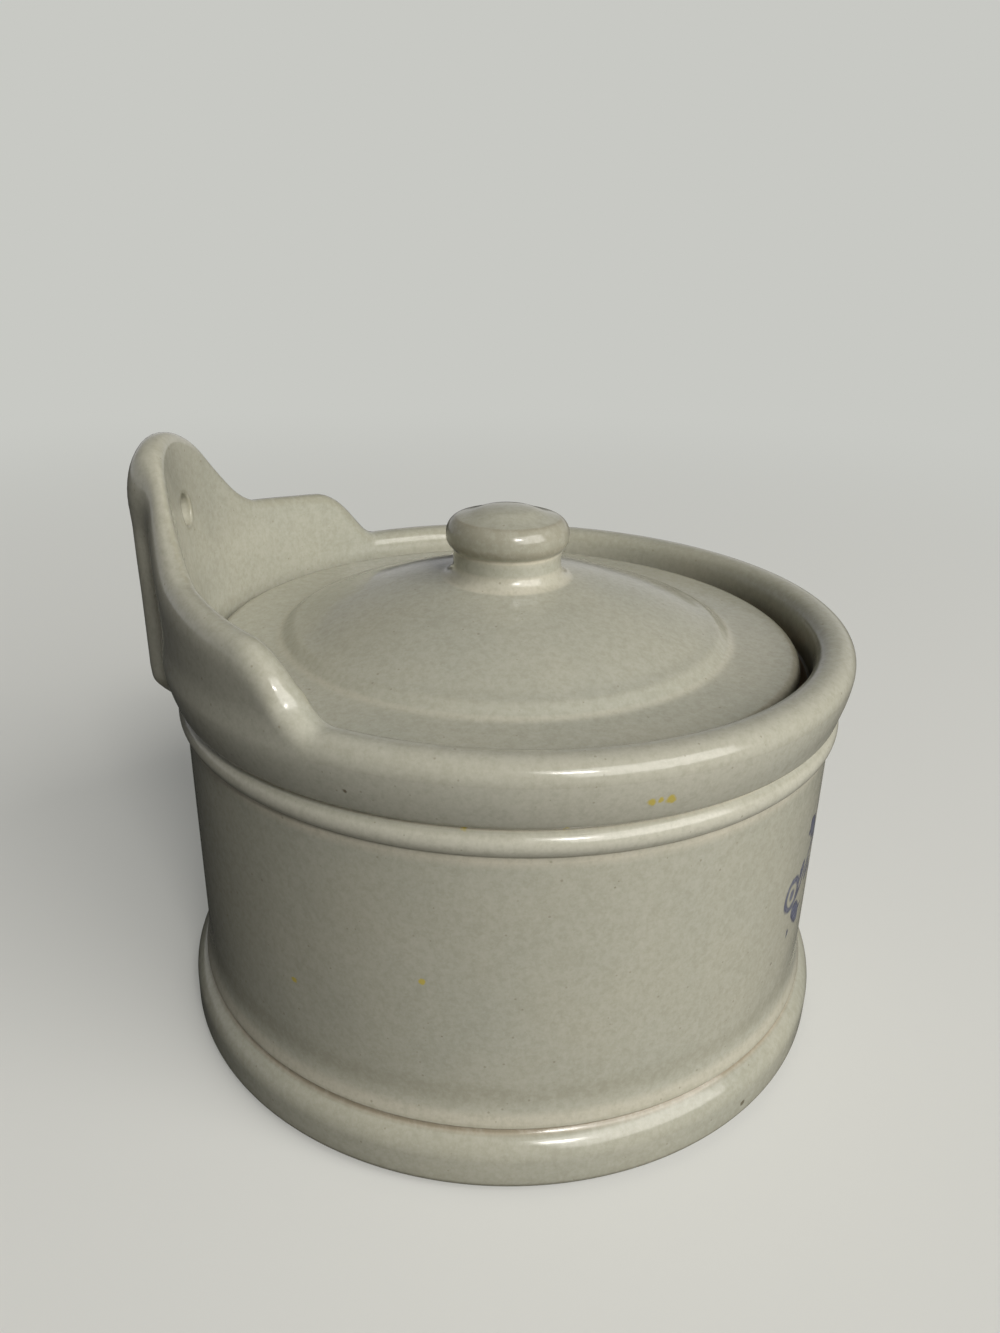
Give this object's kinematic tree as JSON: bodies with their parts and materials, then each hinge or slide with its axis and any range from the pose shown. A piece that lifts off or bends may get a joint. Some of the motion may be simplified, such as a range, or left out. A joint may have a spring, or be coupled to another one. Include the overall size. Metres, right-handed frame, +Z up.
{
  "type": "salt crock",
  "caption": "Round glazed stoneware salt crock with a rolled rim, a scalloped backplate with a hanging hole, and a loose lid with a round knob.",
  "frame": {"origin": "centre of the foot, on the surface the crock stands on; the turned body and the lid are centred on +Z through it", "axes": "+Z up, front of the crock at -Y, backplate and wall at +Y, +X to the right seen from the front"},
  "size_m": [0.1476, 0.1499, 0.1264],
  "materials": {
    "crock_glaze": "satin-gloss grey-beige stoneware glaze with fine speckle",
    "lid_glaze": "satin-gloss grey-beige stoneware glaze with fine speckle"
  },
  "bodies": {
    "crock": {"crock": "crock_glaze"},
    "lid": {"lid": "lid_glaze"}
  },
  "joints": [
    {"name": "lid_lift", "type": "slide", "parent": "crock", "child": "lid", "axis": [0, 0, 1], "range_m": [0, 0.06]}
  ]
}
